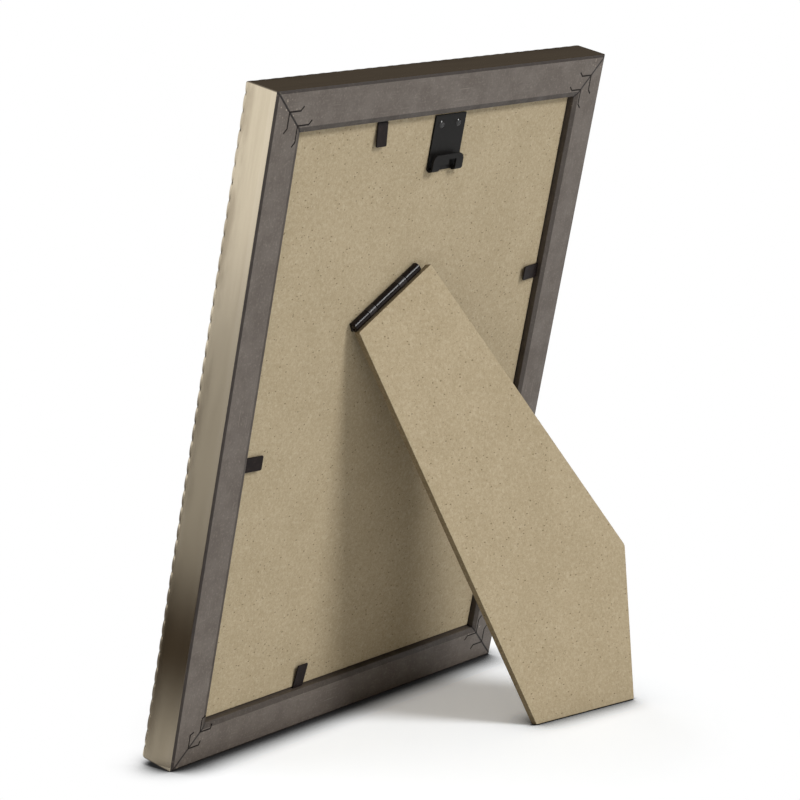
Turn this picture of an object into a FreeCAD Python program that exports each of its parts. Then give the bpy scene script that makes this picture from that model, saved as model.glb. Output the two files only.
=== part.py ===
import FreeCAD, Part
import math
import os
import re
import Sketcher

# Easel back photo frame, portrait, leaning back on its own leg.
# Frame-local axes before the lean: X across the frame, Y out of its back, Z up it.
# Y is zero on the rails' backs and the picture side faces -Y.

doc = FreeCAD.newDocument("easel_back_photo_frame")
sizes = doc.addObject("Spreadsheet::Sheet", "sizes")

# Lengths in millimetres and angles in degrees: name, value, meaning.
driving_sizes = [
    ("frame_width", "157", "outer width of the frame"),
    ("frame_height", "208", "outer height of the frame"),
    ("frame_depth", "12.8", "back face to the tops of the beads"),
    ("frame_lean", "12.24", "lean back from upright"),
    ("back_reach", "12.8", "outer edge of a rail to its rabbet wall"),
    ("lip_reach", "5", "rabbet wall to sight edge"),
    ("arris_width", "0.8", "eased back edge, across the back"),
    ("arris_drop", "0.5", "eased back edge, down the side"),
    ("bevel_width", "1.6", "eased inner edge, across the back"),
    ("bevel_drop", "0.6", "eased inner edge, down the rabbet wall"),
    ("bead_radius", "1.8", "beads of the front outer edge"),
    ("bead_waist", "1.35", "radius of the row between two beads"),
    ("bead_pitch", "5.15", "bead to bead"),
    ("bead_crown", "2", "full-width middle of a bead"),
    ("hollow_drop", "1.5", "fall of the hollow from the beads to the sight edge"),
    ("hollow_radius", "38", "shallow hollow of the front"),
    ("sight_bead_width", "2", "small round along the sight edge"),
    ("sight_bead_radius", "1.1", "its radius"),
    ("board_recess", "2.4", "back face down to the backing board"),
    ("board_thick", "2.5", "backing board"),
    ("card_thick", "0.4", "insert card"),
    ("glass_thick", "2", "glass pane"),
    ("pane_gap", "0.4", "rabbet wall to the edge of board, card and glass"),
    ("vnail_outer_inset", "6", "outer V-nail, from both outer edges"),
    ("vnail_inner_inset", "10.3", "inner V-nail, from both outer edges"),
    ("vnail_leg", "4.9", "straight part of a V-nail's leg"),
    ("vnail_flare", "1.7", "turned-out lip at the end of a leg"),
    ("vnail_flare_angle", "45", "turn of that lip"),
    ("vnail_gauge", "0.4", "its steel"),
    ("vnail_length", "7", "how deep it is driven"),
    ("tab_width", "4.6", "flexible tab"),
    ("tab_gauge", "0.45", "its steel"),
    ("tab_reach", "7.5", "bend to tip"),
    ("tab_stub", "0.5", "rabbet wall to bend"),
    ("tab_embed", "6", "driven into the rail"),
    ("tab_point", "2", "length of its driven point"),
    ("tab_tip_cut", "0.9", "clipped corners of the tip"),
    ("tab_tilt", "6", "blade lifted off the board"),
    ("tab_lift", "0.1", "board to tab at the bend"),
    ("tab_bend_gap", "0.05", "bend to blade"),
    ("tab_top_place", "-27", "tab from the middle of the top rail"),
    ("tab_bottom_place", "21.8", "tab from the middle of the bottom rail"),
    ("tab_left_place", "-33.7", "tab from the middle of the left rail"),
    ("tab_right_place", "-9.4", "tab from the middle of the right rail"),
    ("hanger_width", "14.5", "hanger plate"),
    ("hanger_height", "17.3", "hanger plate"),
    ("hanger_gauge", "0.6", "its steel"),
    ("hanger_place", "-5.25", "its middle, across the frame"),
    ("hanger_top_gap", "0.9", "top rail's rabbet wall to the plate"),
    ("hook_pocket", "1.2", "gap behind the folded-up hook"),
    ("hook_height", "5.4", "fold to the hook's top edge"),
    ("hook_corner", "2.2", "rounded top corners of the hook"),
    ("arch_width", "7.6", "arch between the hook's feet"),
    ("arch_height", "2.2", "its height"),
    ("nail_slot_width", "3.5", "slot for the wall nail, at one end of the arch"),
    ("nail_slot_height", "3.8", "its height from the fold"),
    ("rivet_spacing", "8.1", "between the two hanger rivets"),
    ("rivet_drop", "2.9", "plate's top edge to the rivets"),
    ("rivet_head_radius", "1.15", "rivet head"),
    ("rivet_head_rise", "0.5", "its dome"),
    ("rivet_shank_radius", "0.7", "rivet shank"),
    ("rivet_bite", "2", "shank in the board"),
    ("hinge_place", "26.07", "hinge line's outer end, across the frame"),
    ("hinge_drop", "76.46", "hinge line's outer end, down from the top of the frame"),
    ("hinge_tilt", "30.78", "hinge line from level"),
    ("barrel_radius", "1.2", "hinge barrel"),
    ("barrel_inset", "0.3", "leg's outer corner to the barrel's end"),
    ("barrel_far_inset", "3.5", "leg's inner corner to the barrel's other end"),
    ("knuckle_end", "6.5", "end knuckles"),
    ("knuckle_short", "3.45", "the leg leaf's two knuckles"),
    ("knuckle_gap", "0.1", "between two knuckles"),
    ("pin_radius", "0.55", "hinge pin"),
    ("pin_clearance", "0.05", "pin in its knuckles"),
    ("leaf_gauge", "0.4", "hinge leaves"),
    ("leaf_reach", "8", "axis to a leaf's far edge"),
    ("leaf_gap", "0.05", "between the leaves of the closed hinge"),
    ("leaf_relief", "0.3", "cut-out round the other leaf's knuckles"),
    ("hinge_lift", "0.05", "barrel off the board"),
    ("prong_width", "1.2", "teeth that hold a leaf"),
    ("prong_depth", "1.6", "their bite"),
    ("prong_inset", "4.4", "from the leaf's ends"),
    ("prong_drop", "5.4", "from the axis"),
    ("leg_thick", "2.4", "leg"),
    ("leg_opening", "23.47", "leg from closed to standing"),
    ("leg_top_gap", "1.6", "hinge axis to the leg's top edge"),
    ("leg_top_width", "34.4", "top edge"),
    ("foot_along", "19.4", "foot's corner, along the hinge line"),
    ("foot_width", "42", "edge that the portrait frame stands on"),
    ("foot_side", "49.5", "edge that the landscape frame would stand on"),
    ("foot_angle", "91.8", "between those two edges"),
    ("leg_round", "2", "rounded corner above the foot"),
]
for row, (alias, amount, meaning) in enumerate(driving_sizes, start=1):
    sizes.set(f"A{row}", meaning)
    sizes.set(f"B{row}", amount)
    sizes.setAlias(f"B{row}", alias)
doc.recompute()

subparts = {}

# Flat sides of half a bead: planes keep the many beads light.
bead_sides = 8


# A word with an underscore in an expression is a name of the sheet.
def named(expression):
    return re.sub(r"\b([a-z]+(?:_[a-z]+)+)\b", r"sizes.\1", expression)


def number(expression):
    result = sizes.evalExpression(named(expression))
    return float(getattr(result, "Value", result))


def bind(item, prop, expression):
    item.setExpression(prop, named(expression))


def at(x="0", y="0", z="0", axis="0; 1; 0", turn="0"):
    return f"placement(vector({x}; {y}; {z}); rotation(vector({axis}); {turn}))"


def register(label, item):
    item.Label = label
    subparts[label] = item
    return item


# Places and levels that several pieces share.
rail_reach = "(back_reach + lip_reach)"
rabbet_depth = "(board_recess + board_thick + card_thick + glass_thick)"
bead_level = "(frame_depth - bead_radius)"
sight_level = f"({bead_level} - hollow_drop)"
hinge_rise = "(frame_height - hinge_drop)"
tab_level = "(tab_lift + tab_gauge / 2 - board_recess)"
axis_level = "(barrel_radius + hinge_lift - board_recess)"
leg_standoff = "(barrel_radius + hinge_lift - 2 * leaf_gauge - leaf_gap)"

# The eased back edge of the bottom rail and the leg's inner foot edge both touch the floor.
# Upward and backward parts of the hinge line, of the leg's length and of its outer normal.
floor_level = "(arris_drop * sin(frame_lean))"
hinge_up = "(sin(hinge_tilt) * cos(frame_lean))"
hinge_back = "(sin(hinge_tilt) * sin(frame_lean))"
leg_down = (
    "(cos(leg_opening) * cos(hinge_tilt) * cos(frame_lean)"
    " + sin(leg_opening) * sin(frame_lean))"
)
leg_back = (
    "(sin(leg_opening) * cos(frame_lean)"
    " - cos(leg_opening) * cos(hinge_tilt) * sin(frame_lean))"
)
normal_up = (
    "(sin(leg_opening) * cos(hinge_tilt) * cos(frame_lean)"
    " - cos(leg_opening) * sin(frame_lean))"
)
normal_back = (
    "(cos(leg_opening) * cos(frame_lean)"
    " + sin(leg_opening) * cos(hinge_tilt) * sin(frame_lean))"
)
foot_drop = (
    f"(({hinge_rise} * cos(frame_lean) - {axis_level} * sin(frame_lean)"
    f" + foot_along * {hinge_up} - {leg_standoff} * {normal_up} - {floor_level}) / {leg_down})"
)
foot_run = f"sqrt({leg_down} * {leg_down} + {hinge_up} * {hinge_up})"
foot_cos = f"({leg_down} / {foot_run})"
foot_sin = f"({hinge_up} / {foot_run})"
side_cos = f"({foot_cos} * cos(foot_angle) - {foot_sin} * sin(foot_angle))"
side_sin = f"({foot_sin} * cos(foot_angle) + {foot_cos} * sin(foot_angle))"
foot_back = (
    f"({hinge_rise} * sin(frame_lean) + {axis_level} * cos(frame_lean) + foot_along * {hinge_back}"
    f" + {foot_drop} * {leg_back} + (leg_thick - {leg_standoff}) * {normal_back})"
)
bead_front = (
    f"({bead_level} * cos(frame_lean) - bead_radius * sin(frame_lean) + bead_radius)"
)

# The origin is on the floor, below the middle of the whole object.
stand = at(
    y=f"({bead_front} - {foot_back}) / 2",
    z=f"-{floor_level}",
    axis="1; 0; 0",
    turn="-frame_lean",
)
hinge_shut = f"{stand} * " + at(
    "hinge_place", axis_level, hinge_rise, turn="180 + hinge_tilt"
)
hinge_open = f"{hinge_shut} * " + at(axis="1; 0; 0", turn="-leg_opening")


# Closed outline in a body's plane. A corner is (across, up) or (across, up, radius), where
# the radius is that of the arc to the next corner, with a minus where the arc is hollow.
def outline(body, plane, corners, level="0"):
    sketch = body.newObject("Sketcher::SketchObject", "outline")
    origin_plane = next(f for f in body.Origin.OriginFeatures if f.Role == plane)
    sketch.AttachmentSupport = (origin_plane, [""])
    sketch.MapMode = "FlatFace"
    bind(sketch, "AttachmentOffset.Base.z", level)
    points = [FreeCAD.Vector(number(c[0]), number(c[1]), 0) for c in corners]
    ends = []
    for index, corner in enumerate(corners):
        start = points[index]
        finish = points[(index + 1) % len(points)]
        if len(corner) == 2:
            sketch.addGeometry(Part.LineSegment(start, finish), False)
            ends.append((1, 2))
            continue
        hollow = corner[2].startswith("-")
        radius = number(corner[2].lstrip("-"))
        chord = finish - start
        side = FreeCAD.Vector(-chord.y, chord.x, 0).normalize()
        rise = math.sqrt(max(radius**2 - (chord.Length / 2) ** 2, 0))
        centre = (start + finish) * 0.5 + side * (-rise if hollow else rise)
        first, last = (finish, start) if hollow else (start, finish)
        circle = Part.Circle(centre, FreeCAD.Vector(0, 0, 1), radius)
        arc = Part.ArcOfCircle(
            circle,
            math.atan2(first.y - centre.y, first.x - centre.x),
            math.atan2(last.y - centre.y, last.x - centre.x),
        )
        sketch.addGeometry(arc, False)
        ends.append((2, 1) if hollow else (1, 2))
    for index, corner in enumerate(corners):
        after = (index + 1) % len(corners)
        sketch.addConstraint(
            Sketcher.Constraint(
                "Coincident", index, ends[index][1], after, ends[after][0]
            )
        )
        place = points[index]
        for kind, expression, amount in (
            ("DistanceX", corner[0], place.x),
            ("DistanceY", corner[1], place.y),
        ):
            rule = sketch.addConstraint(
                Sketcher.Constraint(kind, -1, 1, index, ends[index][0], amount)
            )
            bind(sketch, f"Constraints[{rule}]", expression)
        if len(corner) == 3:
            size = corner[2].lstrip("-")
            rule = sketch.addConstraint(
                Sketcher.Constraint("Radius", index, number(size))
            )
            bind(sketch, f"Constraints[{rule}]", size)
    return sketch


# A flat piece whose outline lies in X and Z and whose thickness runs from level towards +Y.
def plate(name, corners, thickness, level="0", placement=None):
    body = doc.addObject("PartDesign::Body", name)
    sketch = outline(body, "XZ_Plane", corners, f"-({level})")
    pad = body.newObject("PartDesign::Pad", "thickness")
    pad.Profile = sketch
    pad.Reversed = True
    bind(pad, "Length", thickness)
    if placement:
        bind(body, "Placement", placement)
    return body


# A length of one section, drawn in Y and Z and run both ways along X.
def bar(name, corners, length):
    body = doc.addObject("PartDesign::Body", name)
    sketch = outline(body, "YZ_Plane", corners)
    pad = body.newObject("PartDesign::Pad", "length")
    pad.Profile = sketch
    pad.SideType = "Symmetric"
    bind(pad, "Length", length)
    return body


def box(name, x, y, z, along, through, up, placement=""):
    block = doc.addObject("Part::Box", name)
    bind(block, "Length", along)
    bind(block, "Width", through)
    bind(block, "Height", up)
    bind(block, "Placement", (f"{placement} * " if placement else "") + at(x, y, z))
    return block


# A round bar along X from the given place.
def round_bar(name, radius, start, length, placement=""):
    rod = doc.addObject("Part::Cylinder", name)
    bind(rod, "Radius", radius)
    bind(rod, "Height", length)
    bind(
        rod,
        "Placement",
        (f"{placement} * " if placement else "") + at(start, turn="90"),
    )
    return rod


def group(name, items):
    if len(items) == 1:
        return items[0]
    compound = doc.addObject("Part::Compound", name)
    compound.Links = items
    return compound


def cut(name, base, tools, placement=None):
    result = doc.addObject("Part::Cut", name)
    result.Base = base
    result.Tool = group(f"{name}_tools", tools)
    if placement:
        bind(result, "Placement", placement)
    return result


def join(name, items, placement=None):
    result = doc.addObject("Part::MultiFuse", name)
    result.Shapes = items
    result.Refine = True
    if placement:
        bind(result, "Placement", placement)
    return result


# Each side of the frame: its length, its turn about the frame's normal and its middle.
sides = {
    "bottom": ("frame_width", "0", ("0", "0", "0")),
    "left": ("frame_height", "90", ("-frame_width / 2", "0", "frame_height / 2")),
    "top": ("frame_width", "180", ("0", "0", "frame_height")),
    "right": ("frame_height", "270", ("frame_width / 2", "0", "frame_height / 2")),
}
corners_of_frame = {
    "bottom_left": ("0", ("-frame_width / 2", "0", "0")),
    "top_left": ("90", ("-frame_width / 2", "0", "frame_height")),
    "top_right": ("180", ("frame_width / 2", "0", "frame_height")),
    "bottom_right": ("270", ("frame_width / 2", "0", "0")),
}


def side_place(side):
    turn, middle = sides[side][1:]
    return f"{stand} * " + at(*middle, turn=turn)


# V-nails: a strip bent square at the mitre, with both ends turned out, driven edgewise.
def make_vnail(corner, ring):
    lip_end = "(vnail_leg + vnail_flare * cos(vnail_flare_angle))"
    lip_out = "(vnail_flare * sin(vnail_flare_angle))"
    lip_side = "(vnail_gauge * sin(vnail_flare_angle))"
    lip_face = "(vnail_gauge * cos(vnail_flare_angle))"
    bend = "(vnail_leg + vnail_gauge * tan(vnail_flare_angle / 2))"
    half = [
        ("vnail_leg", "0"),
        (lip_end, f"-{lip_out}"),
        (f"{lip_end} + {lip_side}", f"{lip_face} - {lip_out}"),
        (bend, "vnail_gauge"),
    ]
    mirrored = [(up, across) for across, up in reversed(half)]
    strip = [("0", "0")] + half + [("vnail_gauge", "vnail_gauge")] + mirrored
    turn, place = corners_of_frame[corner]
    inset = f"vnail_{ring}_inset"
    placement = f"{stand} * " + at(*place, turn=turn) + " * " + at(inset, "0", inset)
    label = f"vnail_{corner}_{ring}"
    nail = plate(label, strip, "vnail_length", "-vnail_length", placement)
    return register(label, nail)


vnails = {
    (corner, ring): make_vnail(corner, ring)
    for corner in corners_of_frame
    for ring in ("outer", "inner")
}


# Flexible tabs: a root driven into the rabbet wall, and a blade that bends at its end.
def make_tab(side):
    half = "tab_width / 2"
    far = "(tab_stub + tab_embed)"
    place = f"{side_place(side)} * " + at(
        f"tab_{side}_place", tab_level, "back_reach + tab_stub"
    )
    root_corners = [
        (f"-{half}", f"tab_point - {far}"),
        ("0", f"-{far}"),
        (half, f"tab_point - {far}"),
        (half, "0"),
        (f"-{half}", "0"),
    ]
    strip = plate(f"tab_strip_{side}", root_corners, "tab_gauge", "-tab_gauge / 2")
    bend = round_bar(f"tab_bend_{side}", "tab_gauge / 2", f"-{half}", "tab_width")
    root = join(f"tab_root_{side}", [strip, bend], place)
    near = "(tab_gauge / 2 + tab_bend_gap)"
    blade_corners = [
        (f"-{half}", near),
        (half, near),
        (half, "tab_reach - tab_tip_cut"),
        (f"{half} - tab_tip_cut", "tab_reach"),
        (f"tab_tip_cut - {half}", "tab_reach"),
        (f"-{half}", "tab_reach - tab_tip_cut"),
    ]
    tilted = f"{place} * " + at(axis="1; 0; 0", turn="-tab_tilt")
    blade = plate(
        f"tab_blade_{side}", blade_corners, "tab_gauge", "-tab_gauge / 2", tilted
    )
    register(f"tab_root_{side}", root)
    register(f"tab_blade_{side}", blade)
    return root


tab_roots = {side: make_tab(side) for side in sides}


# The row of beads of one rail: rings of flat sides, tight between two beads and full at
# both ends of a crown, closed into one solid whose flat side lies in the moulding.
def make_bead_row(side, length):
    pitch = number("bead_pitch")
    crown = number("bead_crown")
    full = number("bead_radius")
    waist = number("bead_waist")
    level = -number(bead_level)
    count = math.ceil(number(length) / pitch)

    def ring(x, radius):
        turns = [math.pi * step / bead_sides for step in range(bead_sides + 1)]
        return [
            FreeCAD.Vector(
                x, level - radius * math.sin(turn), full - radius * math.cos(turn)
            )
            for turn in turns
        ]

    rings = [ring(-count * pitch / 2, waist)]
    for step in range(count):
        middle = (step + 0.5 - count / 2) * pitch
        rings.append(ring(middle - crown / 2, full))
        rings.append(ring(middle + crown / 2, full))
        rings.append(ring(middle + pitch / 2, waist))
    outlines = [
        [near[index], near[index + 1], far[index + 1], far[index]]
        for near, far in zip(rings, rings[1:])
        for index in range(bead_sides)
    ]
    outlines += [rings[0], rings[-1]]
    outlines.append([r[0] for r in rings] + [r[-1] for r in reversed(rings)])
    faces = [Part.Face(Part.makePolygon(points + points[:1])) for points in outlines]
    solid = Part.Solid(Part.Shell(faces))
    if solid.Volume < 0:
        solid.reverse()
    row = doc.addObject("Part::Feature", f"bead_row_{side}")
    row.Shape = solid
    return row


# Rails: section run to length, both ends mitred with those of its beads, slots cut where the
# V-nails and the tab are driven in, and the beads joined on.
def make_rail(side):
    length = sides[side][0]
    section = [
        ("0", "arris_width"),
        ("0", "back_reach - bevel_width"),
        ("-bevel_drop", "back_reach"),
        (f"-{rabbet_depth}", "back_reach"),
        (f"-{rabbet_depth}", rail_reach),
        (f"-{sight_level}", rail_reach, "sight_bead_radius"),
        (f"-{sight_level}", f"{rail_reach} - sight_bead_width", "-hollow_radius"),
        (f"-{bead_level}", "2 * bead_radius"),
        (f"-{bead_level}", "0"),
        ("-arris_drop", "0"),
    ]
    mitred = [
        (f"-{length} / 2", "0"),
        (f"{length} / 2", "0"),
        (f"{length} / 2 - {rail_reach}", rail_reach),
        (f"{rail_reach} - {length} / 2", rail_reach),
    ]
    saw = plate(f"mitre_{side}", mitred, "frame_depth", "-frame_depth")
    moulding = bar(f"moulding_{side}", section, length)
    halves = []
    for name, stock in (("stick", moulding), ("row", make_bead_row(side, length))):
        half = doc.addObject("Part::Common", f"mitred_{name}_{side}")
        half.Base = stock
        half.Tool = saw
        bind(half, "Placement", side_place(side))
        halves.append(half)
    stick, row = halves
    turn = sides[side][1]
    back = str((int(turn) + 270) % 360)
    driven = [
        nail
        for (corner, _), nail in vnails.items()
        if corners_of_frame[corner][0] in (turn, back)
    ]
    slotted = cut(f"slotted_{side}", stick, driven + [tab_roots[side]])
    rail = join(f"rail_{side}", [slotted, row])
    rail.Refine = False
    return register(f"rail_{side}", rail)


for side in sides:
    make_rail(side)


# Glass, card and board lie in the rabbet in this order from the lip.
def make_sheet(label, near, thickness):
    width = "(frame_width - 2 * (back_reach + pane_gap))"
    height = "(frame_height - 2 * (back_reach + pane_gap))"
    return box(
        label,
        f"-{width} / 2",
        f"-({near} + {thickness})",
        "back_reach + pane_gap",
        width,
        thickness,
        height,
        stand,
    )


card_near = "board_recess + board_thick"
register("glass", make_sheet("glass", f"{card_near} + card_thick", "glass_thick"))
register("insert_card", make_sheet("insert_card", card_near, "card_thick"))
board = make_sheet("board_sheet", "board_recess", "board_thick")


# Rivets of the hanger: dome, then a shank through the plate and into the board.
def make_rivet(label, place):
    body = doc.addObject("PartDesign::Body", label)
    dome_radius = (
        "(rivet_head_radius * rivet_head_radius + rivet_head_rise * rivet_head_rise)"
        " / (2 * rivet_head_rise)"
    )
    foot = "-(hanger_gauge + rivet_bite)"
    profile = [
        ("0", foot),
        ("rivet_shank_radius", foot),
        ("rivet_shank_radius", "0"),
        ("rivet_head_radius", "0", dome_radius),
        ("0", "rivet_head_rise"),
    ]
    turned = body.newObject("PartDesign::Revolution", "turned")
    turned.Profile = outline(body, "XY_Plane", profile)
    turned.ReferenceAxis = (turned.Profile[0], ["V_Axis"])
    turned.Angle = 360
    bind(body, "Placement", place)
    return register(label, body)


# Hanger plate: hanging down the board, folded back up as a hook with an arch and a nail slot.
hanger_foot = "(frame_height - back_reach - hanger_top_gap - hanger_height)"
hanger_origin = f"{stand} * " + at("hanger_place", "-board_recess", hanger_foot)
rivets = [
    make_rivet(
        f"hanger_rivet_{name}",
        f"{hanger_origin} * "
        + at(f"{sign} * rivet_spacing / 2", "hanger_gauge", "hanger_height - rivet_drop"),
    )
    for name, sign in (("a", "1"), ("b", "-1"))
]


def make_hanger():
    fold = "(hanger_gauge + hook_pocket / 2)"
    outer = "(2 * hanger_gauge + hook_pocket)"
    section = [
        ("0", "hanger_height"),
        ("0", fold, fold),
        (fold, "0", fold),
        (outer, fold),
        (outer, "hook_height"),
        (f"{outer} - hanger_gauge", "hook_height"),
        (f"{outer} - hanger_gauge", fold, "-hook_pocket / 2"),
        (fold, "hanger_gauge", "-hook_pocket / 2"),
        ("hanger_gauge", fold),
        ("hanger_gauge", "hanger_height"),
    ]
    folded = bar("hanger_folded", section, "hanger_width")
    opening = [
        ("-arch_width / 2", "-hanger_gauge"),
        ("arch_width / 2", "-hanger_gauge"),
        ("arch_width / 2", "arch_height"),
        ("nail_slot_width - arch_width / 2", "arch_height"),
        ("nail_slot_width - arch_width / 2", "nail_slot_height"),
        ("-arch_width / 2", "nail_slot_height"),
    ]
    punched = plate(
        "hanger_opening", opening, "2 * hanger_gauge + hook_pocket", "hanger_gauge"
    )
    trimmed = doc.addObject("Part::Fillet", "hanger_trimmed")
    trimmed.Base = cut("hanger_punched", folded, [punched])
    doc.recompute()
    half = number("hanger_width") / 2
    top = number("hook_height")
    radius = number("hook_corner")
    slack = number("hanger_gauge") / 2
    corner_edges = [
        (index, radius, radius)
        for index, edge in enumerate(trimmed.Base.Shape.Edges, start=1)
        if abs(edge.CenterOfMass.z - top) < slack
        and abs(abs(edge.CenterOfMass.x) - half) < slack
        and edge.BoundBox.ZLength < slack
    ]
    trimmed.Edges = corner_edges
    bind(trimmed, "Placement", hanger_origin)
    return register("hanger_plate", cut("hanger_plate", trimmed, rivets))


make_hanger()

# Hinge, in its own axes: X along the pin, Y away from the board, Z down the closed leg.
knuckle_centre = (
    "(leg_top_width - barrel_inset - barrel_far_inset - 2 * knuckle_end - 2 * knuckle_short)"
)
knuckles = ["knuckle_end", "knuckle_short", knuckle_centre, "knuckle_short", "knuckle_end"]
marks = ["barrel_inset"]
for span in knuckles:
    marks.append(f"{marks[-1]} + {span}")
barrel_length = "(" + " + ".join(knuckles) + ")"
leaf_bottom = "leaf_reach"


# A leaf: its strip cut clear of the other leaf's knuckles, its own knuckles, its prongs.
def make_leaf(label, own, strip_low, strip_top, prong_low, placement):
    strip = box(
        f"{label}_strip",
        "barrel_inset",
        strip_low,
        strip_top,
        barrel_length,
        "leaf_gauge",
        f"{leaf_bottom} - {strip_top}",
    )
    reliefs = []
    curls = []
    for index, span in enumerate(knuckles):
        if index in own:
            curls.append(
                round_bar(
                    f"{label}_knuckle_{index}",
                    "barrel_radius",
                    f"{marks[index]} + knuckle_gap / 2",
                    f"{span} - knuckle_gap",
                )
            )
            continue
        reliefs.append(
            box(
                f"{label}_relief_{index}",
                f"{marks[index]} - knuckle_gap / 2",
                "-2 * barrel_radius",
                "-barrel_radius",
                f"{span} + knuckle_gap",
                "4 * barrel_radius",
                "2 * barrel_radius + leaf_relief",
            )
        )
    prongs = [
        box(
            f"{label}_prong_{name}",
            place,
            prong_low,
            "prong_drop",
            "prong_width",
            "prong_depth + leaf_gauge",
            "leaf_gauge",
        )
        for name, place in (
            ("a", "barrel_inset + prong_inset"),
            ("b", f"barrel_inset + {barrel_length} - prong_inset - prong_width"),
        )
    ]
    curled = join(
        f"{label}_solid", [cut(f"{label}_cleared", strip, reliefs)] + curls + prongs
    )
    bore = round_bar(
        f"{label}_bore", "pin_radius + pin_clearance", "0", f"2 * {barrel_length}"
    )
    return register(label, cut(label, curled, [bore], placement))


board_leaf = make_leaf(
    "hinge_board_leaf",
    (0, 2, 4),
    "-(barrel_radius + hinge_lift)",
    "0",
    "-(barrel_radius + hinge_lift + prong_depth)",
    hinge_shut,
)
leg_leaf = make_leaf(
    "hinge_leg_leaf",
    (1, 3),
    f"-({leg_standoff} + leaf_gauge)",
    "(pin_radius + pin_clearance + barrel_radius) / 2",
    f"-({leg_standoff} + leaf_gauge)",
    hinge_open,
)
register(
    "hinge_pin",
    round_bar("hinge_pin", "pin_radius", "barrel_inset", barrel_length, hinge_shut),
)


# Leg: top edge along the hinge, and a square foot whose lower edge lies flat on the floor.
def make_leg():
    near_across = f"(foot_along - foot_width * {foot_cos})"
    near_down = f"({foot_drop} - foot_width * {foot_sin})"
    high_across = f"(foot_along - foot_side * {side_cos})"
    high_down = f"({foot_drop} - foot_side * {side_sin})"
    corners = [
        ("0", "leg_top_gap"),
        ("leg_top_width", "leg_top_gap"),
        (high_across, high_down),
        ("foot_along", foot_drop),
        (near_across, near_down),
    ]
    sheet = plate("leg_sheet", corners, "leg_thick", f"-{leg_standoff}")
    rounded = doc.addObject("Part::Fillet", "leg_rounded")
    rounded.Base = sheet
    doc.recompute()
    across = number(high_across)
    down = number(high_down)
    slack = number("leg_round") / 2
    rounded.Edges = [
        (index, number("leg_round"), number("leg_round"))
        for index, edge in enumerate(sheet.Shape.Edges, start=1)
        if abs(edge.CenterOfMass.x - across) < slack
        and abs(edge.CenterOfMass.z - down) < slack
    ]
    bind(rounded, "Placement", hinge_open)
    return register("leg", cut("leg", rounded, [leg_leaf]))


make_leg()
register("backing_board", cut("backing_board", board, rivets + [board_leaf]))

doc.recompute()
for item in doc.Objects:
    if "Invalid" in item.State or "Error" in item.State:
        raise RuntimeError(f"{item.Label} failed: {item.State}")
for label, item in subparts.items():
    if item.Shape.isNull() or not item.Shape.isValid():
        raise RuntimeError(f"{label} has no valid shape")

os.makedirs("parts", exist_ok=True)
for label, item in subparts.items():
    item.Shape.exportStep(f"parts/{label}.step")
    print(label, len(item.Shape.Solids), round(item.Shape.Volume, 3))
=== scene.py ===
import math

import bmesh
import bpy
import numpy as np
from mathutils import Matrix


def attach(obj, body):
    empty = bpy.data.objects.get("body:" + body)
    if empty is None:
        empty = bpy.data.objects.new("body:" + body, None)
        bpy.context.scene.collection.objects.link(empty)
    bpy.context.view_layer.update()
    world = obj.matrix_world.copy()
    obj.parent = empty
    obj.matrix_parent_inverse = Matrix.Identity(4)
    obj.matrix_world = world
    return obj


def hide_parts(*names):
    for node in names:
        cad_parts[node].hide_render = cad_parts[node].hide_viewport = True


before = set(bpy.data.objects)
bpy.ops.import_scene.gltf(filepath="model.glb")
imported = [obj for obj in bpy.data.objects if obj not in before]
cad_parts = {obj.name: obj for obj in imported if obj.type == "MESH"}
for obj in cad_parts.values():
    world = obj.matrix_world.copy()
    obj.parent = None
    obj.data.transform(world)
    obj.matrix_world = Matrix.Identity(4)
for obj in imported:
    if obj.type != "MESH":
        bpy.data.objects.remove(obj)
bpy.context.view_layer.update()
print("stage: packed frame loaded")

mm = 0.001  # drawn in millimetres, kept in metres


# Places, as 4x4 arrays in millimetres.
def turned(axis, degrees):
    return np.array(Matrix.Rotation(math.radians(degrees), 4, axis))


def moved(x, y, z):
    return np.array(Matrix.Translation((x, y, z)))


wholeFrame = {
    "width": 157.0,
    "height": 208.0,
    "lean": 12.24,  # degrees back from upright
    "back": -27.298256,  # puts the middle of the whole object over the origin
    "down": 0.106004,  # the eased lower back edge touches the floor
}
stand = moved(0, wholeFrame["back"], -wholeFrame["down"]) @ turned("X", -wholeFrame["lean"])

drawing = {
    "curveMargin": 1.3,  # of a curve's reach, where the flat beside it starts
    "sameSpot": 1e-5,  # millimetres within which two points of an outline are one
    "faceInset": 1.5,  # of a sheet's easing, how far inside its edge the flat face starts
    "sideMargin": 1.6,  # of a sheet's easing, how far from its faces the flat side starts
    "sideShare": 0.49,  # of a sheet's thickness, at most that far
    "sharpFrom": 38,  # degrees from which an edge is sharp
    "mergeWithin": 1e-6,  # metres within which two corners of a CAD node are one
    "flatWithin": 1,  # degrees within which two of its facets are one flat
}


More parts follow.
